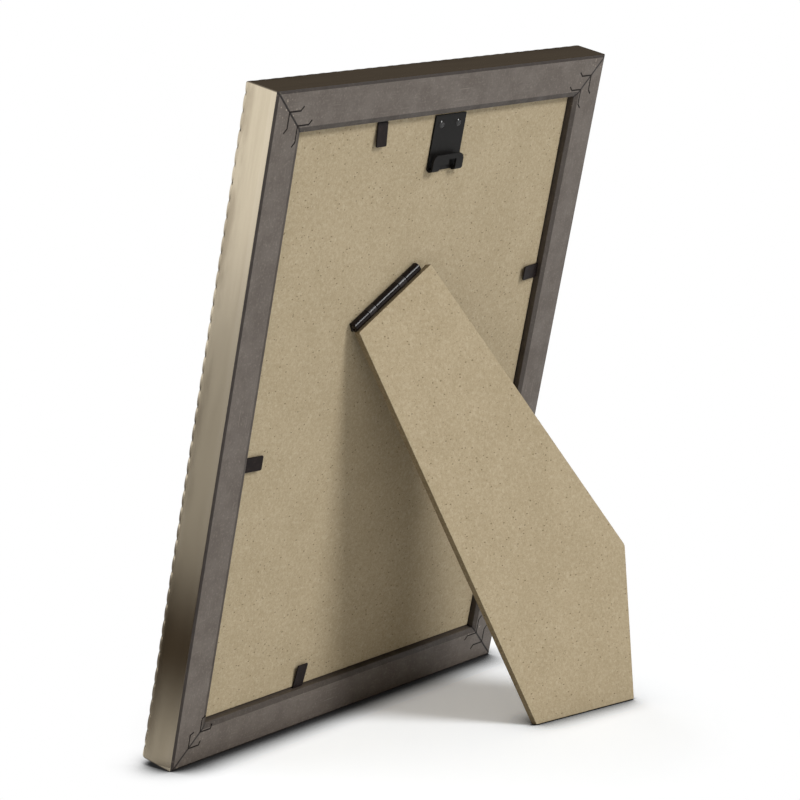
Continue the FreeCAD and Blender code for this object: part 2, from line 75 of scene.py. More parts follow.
# Closed outline whose corners are quadratic curves from reach before a corner to reach after
# it. One more point outside each end of a curve keeps the flat beside it flat. Also gives the
# number of the corner that each point comes from.
def easedOutline(corners, reach, steps=4):
    corner = np.array(corners, float)
    reach = np.broadcast_to(np.array(reach, float), (len(corner),))[:, None]
    before = np.roll(corner, 1, 0) - corner
    after = np.roll(corner, -1, 0) - corner
    before /= np.linalg.norm(before, axis=1, keepdims=True)
    after /= np.linalg.norm(after, axis=1, keepdims=True)
    start = (corner + before * reach)[:, None]
    finish = (corner + after * reach)[:, None]
    s = np.linspace(0, 1, steps)[None, :, None]
    curve = (1 - s) ** 2 * start + 2 * s * (1 - s) * corner[:, None] + s**2 * finish
    near = (corner + before * reach * drawing["curveMargin"])[:, None]
    far = (corner + after * reach * drawing["curveMargin"])[:, None]
    points = np.concatenate([near, curve, far], 1)
    source = np.repeat(np.arange(len(corner)), steps + 2)
    points = points.reshape(-1, 2)
    kept = np.linalg.norm(points - np.roll(points, 1, 0), axis=1) > drawing["sameSpot"]
    return points[kept], source[kept]


# Outward directions of a closed outline: its tangent turned a quarter, away from its inside.
def outwardOf(outline):
    tangent = np.roll(outline, -1, 0) - np.roll(outline, 1, 0)
    tangent /= np.linalg.norm(tangent, axis=1, keepdims=True)
    across = np.roll(outline, -1, 0)
    area = np.sum(outline[:, 0] * across[:, 1] - outline[:, 1] * across[:, 0])
    return np.stack([tangent[:, 1], -tangent[:, 0]], 1) * np.sign(area)


# Closed skin over rings of points: quads join each ring to the next, a cap closes each end,
# and all of it is turned round when the volume that it encloses comes out negative.
def skinOver(rings, spread, finish, flat, capFinish=0):
    count, around = rings.shape[:2]
    index = np.arange(count * around).reshape(count, around)
    beside = np.roll(index, -1, 1)
    quads = np.stack([index[:-1], index[1:], beside[1:], beside[:-1]], -1).reshape(-1, 4)
    corners = [spread[:-1, :-1], spread[1:, :-1], spread[1:, 1:], spread[:-1, 1:]]
    quadSpread = np.stack(corners, 2).reshape(-1, 4, 2)
    caps = [index[0], index[-1][::-1]]
    capSpread = [flat[0], flat[-1][::-1]]
    points = rings.reshape(-1, 3)
    middle = points.mean(0)
    a, b, c, d = (points[quads[:, k]] - middle for k in range(4))
    volume = np.sum(a * np.cross(c - a, d - b))
    for cap in caps:
        edge = points[cap] - middle
        volume += np.sum(edge[0] * np.cross(edge, np.roll(edge, -1, 0)).sum(0))
    if volume < 0:
        quads, quadSpread = quads[:, ::-1], quadSpread[:, ::-1]
        caps = [cap[::-1] for cap in caps]
        capSpread = [cap[::-1] for cap in capSpread]
    return {
        "points": points,
        "faces": quads.tolist() + [cap.tolist() for cap in caps],
        "spread": np.concatenate([quadSpread.reshape(-1, 2)] + capSpread),
        "finish": np.concatenate([finish.reshape(-1), [capFinish] * 2]),
    }


# Sheet from low to high over an outline: rings of it run through the thickness, drawn in at
# both faces by a quarter circle of radius ease. order says which axes outline and level are.
# One more ring outside each end of the quarter circle keeps the face and the side flat. edge
# is the finish of the sides.
def sheetOver(outline, low, high, ease, order="xzy", steps=3, edge=0):
    t = np.linspace(0, math.pi / 2, steps + 1)
    side = min(drawing["sideMargin"] * ease, drawing["sideShare"] * (high - low))
    inset = np.concatenate([[drawing["faceInset"] * ease], ease * (1 - np.sin(t)), [0]])
    level = np.concatenate([[0], ease * (1 - np.cos(t)), [side]])
    inset = np.concatenate([inset, inset[::-1]])
    level = np.concatenate([low + level, high - level[::-1]])
    ring = outline[None] - outwardOf(outline)[None] * inset[:, None, None]
    levels = np.broadcast_to(level[:, None], ring.shape[:2])
    axes = dict(zip(order, (ring[..., 0], ring[..., 1], levels)))
    rings = np.stack([axes["x"], axes["y"], axes["z"]], -1)
    step = np.linalg.norm(np.roll(outline, -1, 0) - outline, axis=1)
    along = np.concatenate([[0], np.cumsum(step)])
    spread = np.stack(np.broadcast_arrays(along[None, :], level[:, None]), -1)
    kind = np.full((len(level) - 1, len(outline)), edge)
    kind[[0, 1, -2, -1]] = 0
    return skinOver(rings, spread, kind, ring)


# One piece from its shells, put in place, with its finish, its body and what it stands for.
def makePiece(name, shells, place, finishes, body, nodes, marks=None):
    offsets = np.cumsum([0] + [len(shell["points"]) for shell in shells])
    points = np.concatenate([shell["points"] for shell in shells])
    points = (points @ place[:3, :3].T + place[:3, 3]) * mm
    faces = [
        [corner + int(offset) for corner in face]
        for shell, offset in zip(shells, offsets)
        for face in shell["faces"]
    ]
    mesh = bpy.data.meshes.new(name)
    mesh.from_pydata(points.tolist(), [], faces)
    spread = np.concatenate([shell["spread"] for shell in shells]) * mm
    mesh.uv_layers.new(name="spread").data.foreach_set("uv", spread.astype(np.float32).ravel())
    kinds = np.concatenate([shell["finish"] for shell in shells]).astype(np.int32)
    mesh.polygons.foreach_set("material_index", kinds)
    for mark, values in (marks or {}).items():
        layer = mesh.attributes.new(mark, "FLOAT", "POINT")
        layer.data.foreach_set("value", values.astype(np.float32).ravel())
    mesh.polygons.foreach_set("use_smooth", np.ones(len(faces), bool))
    mesh.set_sharp_from_angle(angle=math.radians(drawing["sharpFrom"]))
    for finish in finishes:
        mesh.materials.append(finish)
    mesh.update()
    piece = bpy.data.objects.new(name, mesh)
    bpy.context.scene.collection.objects.link(piece)
    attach(piece, body)
    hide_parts(*nodes)


# A CAD node's own shape with its edges broken: merged copy, flats joined, then a live bevel.
def easedCopy(node, name, width, finishes, body):
    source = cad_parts[node]
    work = bmesh.new()
    work.from_mesh(source.data)
    bmesh.ops.remove_doubles(work, verts=work.verts, dist=drawing["mergeWithin"])
    bmesh.ops.dissolve_limit(
        work,
        angle_limit=math.radians(drawing["flatWithin"]),
        verts=work.verts,
        edges=work.edges,
    )
    mesh = bpy.data.meshes.new(name)
    work.to_mesh(mesh)
    work.free()
    mesh.polygons.foreach_set("use_smooth", np.ones(len(mesh.polygons), bool))
    mesh.set_sharp_from_angle(angle=math.radians(drawing["sharpFrom"]))
    mesh.materials.clear()
    for finish in finishes:
        mesh.materials.append(finish)
    piece = bpy.data.objects.new(name, mesh)
    bpy.context.scene.collection.objects.link(piece)
    bevel = piece.modifiers.new("brokenEdges", "BEVEL")
    bevel.width = width * mm
    bevel.segments = 2
    bevel.limit_method = "ANGLE"
    bevel.angle_limit = math.radians(drawing["sharpFrom"])
    bevel.harden_normals = True
    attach(piece, body)
    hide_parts(node)


# Colours are written as sRGB hex and used as linear light.
def hexColour(text):
    channels = [int(text[k : k + 2], 16) / 255 for k in (1, 3, 5)]
    linear = [c / 12.92 if c <= 0.04045 else ((c + 0.055) / 1.055) ** 2.4 for c in channels]
    return (*linear, 1.0)


# Adds a node with its settings, and feeds its sockets from values or other nodes' outputs.
def addNode(tree, kind, settings=None, feeds=None):
    node = tree.nodes.new(kind)
    for key, value in (settings or {}).items():
        setattr(node, key, value)
    for key, value in (feeds or {}).items():
        if isinstance(value, bpy.types.NodeSocket):
            tree.links.new(value, node.inputs[key])
        else:
            node.inputs[key].default_value = value
    return node


smooth = {"interpolation_type": "SMOOTHSTEP"}
times = {"operation": "MULTIPLY"}


# One pattern of a finish, with its size in millimetres: grain, or specks in a share of its
# cells, which give the distance from a dot in cells and 1 more where a dot is left out. It lies
# in the piece's solid, or on its spread, whose own two directions and marks are patterns too.
def makePattern(tree, p):
    if "mark" in p:
        return addNode(tree, "ShaderNodeAttribute", {"attribute_name": p["mark"]}).outputs["Fac"]
    if p.get("on") == "spread":
        place = addNode(tree, "ShaderNodeUVMap", {"uv_map": "spread"}).outputs[0]
    else:
        place = addNode(tree, "ShaderNodeTexCoord").outputs["Object"]
    if "axis" in p:
        return addNode(tree, "ShaderNodeSeparateXYZ", feeds={0: place}).outputs[p["axis"]]
    scale = tuple(1 / (p["size"] * mm * k) for k in p.get("stretch", (1, 1, 1)))
    cells = addNode(tree, "ShaderNodeMapping", feeds={"Vector": place, "Scale": scale}).outputs[0]
    if "share" not in p:
        feeds = {"Vector": cells, "Scale": 1.0, "Detail": p.get("detail", 3), "Roughness": 0.6}
        return addNode(tree, "ShaderNodeTexNoise", feeds=feeds).outputs[0]
    dots = addNode(tree, "ShaderNodeTexVoronoi", feeds={"Vector": cells, "Scale": 1.0}).outputs
    chance = addNode(tree, "ShaderNodeSeparateColor", feeds={0: dots["Color"]}).outputs[0]
    out = addNode(
        tree, "ShaderNodeMath", {"operation": "GREATER_THAN"}, {0: chance, 1: p["share"]}
    ).outputs[0]
    return addNode(
        tree, "ShaderNodeMath", {"operation": "ADD"}, {0: dots["Distance"], 1: out}
    ).outputs[0]


# A finish from its dictionary. Each layer names its pattern, the two values between which it
# comes up, its strength and its tone, and may name more patterns that it has to lie in.
def makeFinish(name, look, tones):
    material = bpy.data.materials.new(name)
    material.use_nodes = True
    tree = material.node_tree
    tree.nodes.clear()
    made = {key: makePattern(tree, pattern) for key, pattern in look["patterns"].items()}
    colour = hexColour(tones["ground"])
    for source, low, high, strength, tone, *inside in look["layers"]:
        amount = strength
        for key, start, end in [(source, low, high), *inside]:
            amount = addNode(
                tree, "ShaderNodeMapRange", smooth, {0: made[key], 1: start, 2: end, 4: amount}
            ).outputs[0]
        colour = addNode(
            tree,
            "ShaderNodeMix",
            {"data_type": "RGBA"},
            {0: amount, 6: colour, 7: hexColour(tones[tone])},
        ).outputs[2]
    feeds = {"Base Color": colour, **look["shader"]}
    key, low, high, least, most = look["roughness"]
    feeds["Roughness"] = addNode(
        tree, "ShaderNodeMapRange", smooth, {0: made[key], 1: low, 2: high, 3: least, 4: most}
    ).outputs[0]
    if "bump" in look:
        key, depth = look["bump"]
        feeds["Normal"] = addNode(
            tree, "ShaderNodeBump", feeds={"Height": made[key], "Distance": depth * mm}
        ).outputs[0]
    shader = addNode(tree, "ShaderNodeBsdfPrincipled", feeds=feeds)
    addNode(tree, "ShaderNodeOutputMaterial", feeds={"Surface": shader.outputs[0]})
    return material


# Metallised champagne foil, rolled onto the moulding: a satin metal, faintly streaked along the
# rail by the rollers and faintly tarnished, duller on the front. Painted shade darkens the
# creases between the beads and a band beside them, and a painted highlight lightens the back
# edge.
foil = makeFinish(
    "rolledChampagneFoil",
    {
        "patterns": {
            "streaks": {"on": "spread", "size": 0.5, "stretch": (60, 1, 1)},
            "waves": {"on": "spread", "size": 3.0, "stretch": (16, 1, 1), "detail": 2},
            "tarnish": {"on": "spread", "size": 7.0, "stretch": (4, 1, 1), "detail": 4},
            "across": {"on": "spread", "axis": 1},
            "groove": {"mark": "groove"},
            "seam": {"mark": "toMitre"},
        },
        "layers": [
            ("streaks", 0.36, 0.64, 0.04, "worn"),
            ("waves", 0.4, 0.64, 0.08, "worn"),
            ("tarnish", 0.42, 0.66, 0.05, "tarnishAndPaintedShade"),
            # Painted shade: a patchy darker band along the front of the outer side and onto the
            # backs of the beads.
            (
                "tarnish",
                0.36,
                0.62,
                0.34,
                "tarnishAndPaintedShade",
                ("across", 6.5 * mm, 10.0 * mm),
                ("across", 13.0 * mm, 11.0 * mm),
            ),
            # Painted highlight: a lighter strip along the back edge, where the foil's lip catches
            # the light.
            ("across", 2.3 * mm, 1.7 * mm, 0.22, "paintedLipHighlight"),
            # Painted shade in the creases between the beads.
            ("groove", 0.25, 0.95, 0.85, "paintedGrooveShade"),
            ("seam", 0.45, 0.12, 0.7, "open"),
        ],
        "roughness": ("across", 9.5 * mm, 11.5 * mm, 0.19, 0.3),
        "bump": ("streaks", 0.0015),
        "shader": {"Metallic": 1.0},
    },
    {
        "ground": "#DACDB4",
        "worn": "#9A8973",
        "tarnishAndPaintedShade": "#6E5D49",
        "paintedLipHighlight": "#E2D6C2",
        "paintedGrooveShade": "#4A3A2B",
        "open": "#3A2E24",
    },
)

# Grey-brown stain wiped on the raw back of the moulding: dull and a little cloudy, with pores
# along the rail, pale scuffs, and chips round the corner nails. The seam is the open mitre.
stainLook = {
    "patterns": {
        "cloud": {"size": 7.0, "detail": 4},
        "pores": {"on": "spread", "size": 0.45, "stretch": (9, 1, 1)},
        "fine": {"size": 0.7},
        "scratches": {"on": "spread", "size": 0.4, "stretch": (30, 1, 1), "detail": 1},
        "dust": {"size": 1.7, "share": 0.12},
        "chips": {"size": 1.1, "share": 0.3},
        "seam": {"mark": "toMitre"},
    },
    "layers": [
        ("cloud", 0.35, 0.66, 0.4, "deep"),
        ("pores", 0.52, 0.72, 0.45, "deep"),
        ("fine", 0.5, 0.72, 0.4, "pale"),
        ("scratches", 0.68, 0.76, 0.5, "pale"),
        ("dust", 0.2, 0.12, 0.35, "pale"),
        ("chips", 0.3, 0.16, 0.6, "bare", ("seam", 7.0, 2.0)),
        ("seam", 0.62, 0.34, 0.95, "open"),
    ],
    "roughness": ("cloud", 0.3, 0.7, 0.5, 0.66),
    "bump": ("pores", 0.03),
    "shader": {},
}
stain = makeFinish(
    "stainedMouldingBack",
    stainLook,
    {
        "ground": "#5D554E",
        "deep": "#4A423C",
        "pale": "#7C756C",
        "bare": "#A79C8C",
        "open": "#1E1713",
    },
)
# Bevel of the rabbet: the back's stain, darker, partly as its own stain over the cut and partly
# as painted shade of a face that turns away from the light.
bevelStainAndShade = makeFinish(
    "stainedMouldingBevelWithPaintedShade",
    stainLook,
    {
        "ground": "#3D352E",
        "deep": "#2E2722",
        "pale": "#5A5148",
        "bare": "#7A6F62",
        "open": "#1E1713",
    },
)
# Rabbet wall: darker still, partly its own stain and partly painted shade of the wall inside the
# rabbet.
wallStainAndShade = makeFinish(
    "stainedRabbetWallWithPaintedShade",
    stainLook,
    {
        "ground": "#3F372F",
        "deep": "#2C241E",
        "pale": "#574D43",
        "bare": "#574D43",
        "open": "#1E1713",
    },
)
# A darker band along the arris, where the back meets the outer side.
arrisBandFinish = makeFinish(
    "darkArrisBand",
    stainLook,
    {
        "ground": "#2E2620",
        "deep": "#211A15",
        "pale": "#4A4038",
        "bare": "#5F554A",
        "open": "#1E1713",
    },
)

# Medium density fibreboard: matt tan, nearly even, with fine wool of pressed fibres and sparse
# dark and pale flecks. Its sawn edges are darker.
fibreboardLook = {
    "patterns": {
        "cloud": {"size": 16.0, "detail": 3},
        "wool": {"size": 1.0, "detail": 4},
        "hair": {"size": 0.45, "detail": 2},
        "barkFlecks": {"size": 1.7, "share": 0.9, "stretch": (1.6, 1, 1)},
        "dotFlecks": {"size": 0.95, "share": 0.7},
        "paleFlecks": {"size": 1.5, "share": 0.5, "stretch": (1, 1, 1.8)},
    },
    "layers": [
        ("cloud", 0.38, 0.64, 0.3, "deep"),
        ("wool", 0.47, 0.64, 0.45, "deep"),
        ("wool", 0.47, 0.34, 0.4, "pale"),
        ("hair", 0.5, 0.7, 0.45, "pale"),
        ("hair", 0.5, 0.3, 0.4, "deep"),
        ("paleFlecks", 0.26, 0.14, 0.4, "pale"),
        ("dotFlecks", 0.2, 0.12, 0.5, "bark"),
        ("barkFlecks", 0.16, 0.1, 0.75, "bark"),
    ],
    "roughness": ("wool", 0.3, 0.7, 0.78, 0.92),
    "bump": ("wool", 0.02),
    "shader": {"Specular IOR Level": 0.3},
}
boardFace = makeFinish(
    "sandedFibreboard",
    fibreboardLook,
    {"ground": "#A4967B", "deep": "#938569", "pale": "#B3A68D", "bark": "#6A5B41"},
)
boardEdge = makeFinish(
    "sawnFibreboardEdge",
    fibreboardLook,
    {"ground": "#76684F", "deep": "#62553C", "pale": "#8A7C63", "bark": "#473C28"},
)

# Blackened steel: near black, faintly cloudy, rubbed a little where it is touched. The nails,
# tabs and hanger are satin. The hinge is lacquered, and its leaf on the leg is rubbed duller.
steelLook = {
    "patterns": {
        "cloud": {"size": 1.4, "detail": 4},
        "fine": {"size": 0.4, "detail": 2},
    },
    "layers": [("cloud", 0.45, 0.75, 0.5, "rubbed")],
    "roughness": ("cloud", 0.3, 0.7, 0.38, 0.52),
    "bump": ("fine", 0.006),
    "shader": {"Specular IOR Level": 0.1},
}
nailSteel = makeFinish(
    "drivenNailSteel", steelLook, {"ground": "#16110E", "rubbed": "#362F2A"}
)
tabSteel = makeFinish(
    "blackenedTabSteel", steelLook, {"ground": "#1A1413", "rubbed": "#322927"}
)
hangerSteel = makeFinish(
    "blackenedHangerSteel", steelLook, {"ground": "#151413", "rubbed": "#272625"}
)
lacquer = {
    "roughness": ("cloud", 0.3, 0.7, 0.17, 0.22),
    "bump": ("fine", 0.0005),
    "shader": {"Specular IOR Level": 0.15},
}
hingeSteel = makeFinish(
    "lacqueredHingeSteel", {**steelLook, **lacquer}, {"ground": "#110A09", "rubbed": "#1A1312"}
)
rubbedLacquer = {
    "roughness": ("cloud", 0.3, 0.7, 0.28, 0.36),
    "bump": ("fine", 0.001),
    "shader": {"Specular IOR Level": 0.3},
}
hingeSatin = makeFinish(
    "rubbedHingeSteel", {**steelLook, **rubbedLacquer}, {"ground": "#140D0C", "rubbed": "#241C1B"}
)

# The rivets are blackened like their plate but polished by the punch, so each shows one glint.
polished = {
    "roughness": ("cloud", 0.3, 0.7, 0.24, 0.3),
    "bump": ("fine", 0.001),
    "shader": {"Specular IOR Level": 0.5},
}
rivetSteel = makeFinish(
    "blackenedRivetSteel", {**steelLook, **polished}, {"ground": "#181716", "rubbed": "#33312F"}
)

# Bare steel wire, drawn and then handled: grey metal with soft scratches.
bareSteelLook = {
    "patterns": {
        "cloud": {"size": 0.8, "detail": 4},
        "scratches": {"size": 0.15, "stretch": (6, 1, 1), "detail": 2},
    },
    "layers": [("cloud", 0.4, 0.7, 0.6, "dull")],
    "roughness": ("scratches", 0.3, 0.7, 0.2, 0.38),
    "bump": ("scratches", 0.006),
    "shader": {"Metallic": 1.0},
}
pinSteel = makeFinish("drawnWireSteel", bareSteelLook, {"ground": "#4A4541", "dull": "#2E2A27"})

# Uncoated white card: matt, with paper fibres that only just show.
card = makeFinish(
    "uncoatedPaperCard",
    {
        "patterns": {"fibre": {"size": 0.5, "detail": 4}, "cloud": {"size": 9.0}},
        "layers": [("fibre", 0.4, 0.7, 0.5, "fibre"), ("cloud", 0.4, 0.7, 0.3, "aged")],
        "roughness": ("fibre", 0.3, 0.7, 0.82, 0.93),
        "bump": ("fibre", 0.012),
        "shader": {},
    },
    {"ground": "#EDEAE2", "fibre": "#E1DDD2", "aged": "#E6E0D2"},
)

# Clear float glass: smooth, faintly green, with a trace of dust.
glass = makeFinish(
    "clearFloatGlass",
    {
        "patterns": {"dust": {"size": 20.0, "detail": 4}},
        "layers": [("dust", 0.4, 0.7, 1.0, "dusty")],
        "roughness": ("dust", 0.4, 0.75, 0.0, 0.02),
        "shader": {"IOR": 1.52, "Transmission Weight": 1.0},
    },
    {"ground": "#FDFFFE", "dusty": "#FBFDFB"},
)

# Cut edge of the glass: ground dull, and dark green because it is seen through the pane's width.
glassEdge = makeFinish(
    "groundGlassEdge",
    {
        "patterns": {"grind": {"size": 0.4, "detail": 2}},
        "layers": [("grind", 0.4, 0.7, 0.5, "chalky")],
        "roughness": ("grind", 0.3, 0.7, 0.5, 0.7),
        "shader": {},
    },
    {"ground": "#2F3D36", "chalky": "#46554C"},
)
print("stage: finishes made")

moulding = {
    # which length, degrees that it is turned, and its middle as shares of width and height
    "sides": {
        "bottom": ("width", 0, (0, 0)),
        "left": ("height", 90, (-0.5, 0.5)),
        "top": ("width", 180, (0, 1)),
        "right": ("height", 270, (0.5, 0.5)),
    },
    "backReach": 12.8,  # outer edge to rabbet wall
    "reach": 17.8,  # outer edge to sight edge
    "rabbet": 7.3,  # depth of the rabbet
    "bevel": (0.6, 1.6),  # depth and width, between the back and the rabbet wall
    "arris": (0.5, 0.8),  # depth and width, between the back and the outer side
    # The bevel's darker stain below carries painted shade as well.
    "bevelStainAndShadeReach": (0.8, 1.7),  # how far the stain of the bevel and of the arris reaches
    "arrisBandReach": (0.5, 0.85),
    "backEase": (0.2, 0, 0.14, 0.2, 0.16),  # round the last five corners of the section
    "sideEase": 0.14,
    "beadAxis": 11.0,
    "beadInset": 1.8,
    "beadRadius": 1.765,
    "beadWaist": 1.35,
    "beadPitch": 5.15,
    "beadPower": 2.4,
    "hollowDrop": 1.5,
    "hollowRise": 0.497,
    "sightWidth": 2.0,
    "sightRadius": 1.1,
    "mitreEase": 0.12,
    "station": 0.36,  # from ring to ring along a rail
    "steps": {"hollow": 12, "beads": 13, "lip": 9},
    "slack": 0.01,  # within which a face counts as on the back or on the rabbet's walls
}


# Section of the moulding, from its back edge round the front to the back again, as depth and
# way inward. The hollow is a parabola on its chord, the beads are a half circle and the lip of
# the sight edge is an arc.
def mouldingSection(m):
    steps = m["steps"]
    t = np.linspace(0, 1, steps["hollow"])[1:-1]
    turn = np.linspace(0, math.pi, steps["beads"])
    sight = math.asin(m["sightWidth"] / 2 / m["sightRadius"])
    arc = np.linspace(-sight, sight, steps["lip"])
    front, sightDepth = m["beadAxis"], m["beadAxis"] - m["hollowDrop"]
    hollowStart, hollowEnd = 2 * m["beadInset"], m["reach"] - m["sightWidth"]
    bevelDepth, bevelWidth = m["bevel"]
    arrisDepth, arrisWidth = m["arris"]
    hollow = np.stack(
        [
            -front + m["hollowDrop"] * t + m["hollowRise"] * 4 * t * (1 - t),
            hollowStart + (hollowEnd - hollowStart) * t,
        ],
        1,
    )
    beads = np.stack(
        [
            -front - m["beadRadius"] * np.sin(turn),
            m["beadInset"] - m["beadRadius"] * np.cos(turn),
        ],
        1,
    )
    lip = np.stack(
        [
            -sightDepth + m["sightRadius"] * (math.cos(sight) - np.cos(arc)),
            m["reach"] - m["sightWidth"] / 2 + m["sightRadius"] * np.sin(arc),
        ],
        1,
    )
    corners = np.concatenate(
        [
            [(-arrisDepth, 0), (-front, 0)],
            beads,
            [(-front, hollowStart)],
            hollow,
            lip,
            [(-m["rabbet"], m["reach"]), (-m["rabbet"], m["backReach"])],
            [(-bevelDepth, m["backReach"]), (0, m["backReach"] - bevelWidth), (0, arrisWidth)],
        ]
    )
    reach = np.zeros(len(corners))
    reach[0] = m["sideEase"]
    reach[-5:] = m["backEase"]
    turns = np.full(len(corners), np.nan)
    turns[2 : 2 + len(turn)] = turn
    points, source = easedOutline(corners, reach)
    return points, turns[source]


# One rail: its section carried along it, both ends cut at 45 degrees, and the beads' radius
# swelling from the waist to the full radius as the root of 1 - |2 phase| ** beadPower.
def makeRail(side):
    m = moulding
    which, turn, (across, up) = m["sides"][side]
    length = wholeFrame[which]
    section, turns = mouldingSection(m)
    count = round(length / m["station"])
    s = np.linspace(-1, 1, count)
    ease = m["mitreEase"]
    depth, inward = section[:, 0], section[:, 1]
    x = s[:, None] * (length / 2 - ease - inward[None])
    phase = x / m["beadPitch"] - np.round(x / m["beadPitch"])
    full = np.sqrt(1 - np.abs(2 * phase) ** m["beadPower"])
    radius = m["beadWaist"] + (m["beadRadius"] - m["beadWaist"]) * full
    onBead = np.isfinite(turns)[None]
    angle = np.nan_to_num(turns)[None]
    y = np.where(onBead, -m["beadAxis"] - radius * np.sin(angle), depth[None])
    z = np.where(onBead, m["beadInset"] - radius * np.cos(angle), inward[None])
    x = s[:, None] * (length / 2 - ease - z)
    rings = np.stack([x, y, z], -1)
    drawn = np.stack([y[[0, -1]], z[[0, -1]]], -1) - outwardOf(section)[None] * ease
    ends = (length / 2 - drawn[..., 1]) * np.array([[-1], [1]])
    tips = np.concatenate([ends[..., None], drawn], -1)
    rings = np.concatenate([tips[:1], rings, tips[1:]])
    step = np.linalg.norm(np.roll(section, -1, 0) - section, axis=1)
    along = np.concatenate([[0], np.cumsum(step)])
    lengthwise = np.concatenate([rings[..., 0], rings[:, :1, 0]], 1)
    spread = np.stack([lengthwise, np.broadcast_to(along[None], lengthwise.shape)], -1)
    deep, wide = ((section + np.roll(section, -1, 0)) / 2).T
    slack = m["slack"]
    bevelDepth, bevelWidth = m["bevelStainAndShadeReach"]
    arrisDepth, arrisWidth = m["arrisBandReach"]
    kind = np.select(
        [
            deep > -slack,
            (deep > -bevelDepth) & (wide > m["backReach"] - bevelWidth),
            (wide > m["backReach"] - slack) & (deep > -m["rabbet"] - slack),
            (deep > -arrisDepth) & (wide < arrisWidth),
        ],
        [1, 2, 3, 4],
        0,
    )
    finish = np.broadcast_to(kind[None], (len(rings) - 1, len(kind)))
    shell = skinOver(rings, spread, finish, rings[..., 1:], 3)
    groove = np.zeros(rings.shape[:2])
    groove[1:-1] = np.where(onBead, 1 - full, 0)
    marks = {
        "groove": groove,
        "toMitre": length / 2 - rings[..., 2] - np.abs(rings[..., 0]),
    }
    middlePlace = moved(across * wholeFrame["width"], 0, up * wholeFrame["height"])
    place = stand @ middlePlace @ turned("Y", turn)
    makePiece(
        f"moulding_{side}",
        [shell],
        place,
        [foil, stain, bevelStainAndShade, wallStainAndShade, arrisBandFinish],
        "frame",
        [f"rail_{side}"],
        marks,
    )
    return place


railPlaces = {side: makeRail(side) for side in moulding["sides"]}
print("stage: moulding made")

cornerNails = {
    # turn of the corner, its place across and up, and how far the lips turn out in degrees
    "corners": {
        "bottom_left": (0, -0.5, 0, 45),
        "top_left": (90, -0.5, 1, 45),
        "top_right": (180, 0.5, 1, 45),
        "bottom_right": (270, 0.5, 0, -70),  # the photograph shows this pair turned inwards
    },
    "inset": {"outer": 6.0, "inner": 10.3},  # of the bend from both outer sides
    "leg": 4.9,
    "lip": 1.7,
    "gauge": 0.48,
    "driven": 7.0,
    "proud": 0.05,
    "cornerEase": 0.06,
    "ease": 0.05,
}


# V-nail: a strip bent square, with a lip turned at both ends, driven in edgewise.
def makeCornerNail(corner, ring):
    n = cornerNails
    turn, across, up, lipTurn = n["corners"][corner]
    lipTurn = math.radians(lipTurn)
    lip = n["lip"] * np.array([math.cos(lipTurn), -math.sin(lipTurn)])
    inward = n["gauge"] * np.array([math.sin(lipTurn), math.cos(lipTurn)])
    end = np.array([n["leg"], 0])
    bend = (n["leg"] + n["gauge"] * math.tan(lipTurn / 2), n["gauge"])
    half = np.array([end, end + lip, end + lip + inward, bend])
    strip = np.concatenate([[(0, 0)], half, [(n["gauge"],) * 2], half[::-1, ::-1]])
    outline = easedOutline(strip, n["cornerEase"], 3)[0]
    inset = n["inset"][ring]
    cornerPlace = moved(across * wholeFrame["width"], 0, up * wholeFrame["height"])
    place = stand @ cornerPlace @ turned("Y", turn) @ moved(inset, 0, inset)
    makePiece(
        f"cornerNail_{corner}_{ring}",
        [sheetOver(outline, -n["driven"], n["proud"], n["ease"])],
        place,
        [nailSteel],
        "frame",
        [f"vnail_{corner}_{ring}"],
    )


for corner in cornerNails["corners"]:
    for ring in cornerNails["inset"]:
        makeCornerNail(corner, ring)
print("stage: corner nails made")

retainingTab = {
    "places": {"top": -27.0, "bottom": 21.8, "left": -33.7, "right": -9.4},  # along its rail
    "width": 4.6,
    "gauge": 0.45,
    "reach": 7.5,
    "tipCut": 0.3,
    "stub": 0.5,
    "driven": 6.0,
    "point": 2.0,
    "level": -2.075,
    "tilt": 6.0,  # degrees that the blade stands up from the board
    "hinge": 0.275,  # from the bend to the start of the blade
    "neckEase": 0.05,
    "cornerEase": 0.08,
    "bladeEase": 0.1,
    "rootEase": 0.2,
}


# Flexible tab: a root driven into the rabbet wall and a blade with clipped corners.
def makeTab(side):
    t = retainingTab
    half, near = t["width"] / 2, t["hinge"]
    place = railPlaces[side] @ moved(
        t["places"][side], t["level"], moulding["backReach"] + t["stub"]
    )
    blade = [
        (-half, near),
        (half, near),
        (half, t["reach"] - t["tipCut"]),
        (half - t["tipCut"], t["reach"]),
        (t["tipCut"] - half, t["reach"]),
        (-half, t["reach"] - t["tipCut"]),
    ]
    outline = easedOutline(blade, (t["neckEase"],) * 2 + (t["cornerEase"],) * 4)[0]
    makePiece(
        f"tabBlade_{side}",
        [sheetOver(outline, -t["gauge"] / 2, t["gauge"] / 2, t["bladeEase"])],
        place @ turned("X", -t["tilt"]),
        [tabSteel],
        f"tab_{side}",
        [f"tab_blade_{side}"],
    )
    far = -(t["stub"] + t["driven"])
    root = [
        (-half, far + t["point"]),
        (0, far),
        (half, far + t["point"]),
        (half, t["gauge"] / 2),
        (-half, t["gauge"] / 2),
    ]
    outline = easedOutline(root, t["cornerEase"], 3)[0]
    makePiece(
        f"tabRoot_{side}",
        [sheetOver(outline, -t["gauge"] / 2, t["gauge"] / 2, t["rootEase"])],
        place,
        [tabSteel],
        "frame",
        [f"tab_root_{side}"],
    )


for side in moulding["sides"]:
    makeTab(side)
print("stage: retaining tabs made")

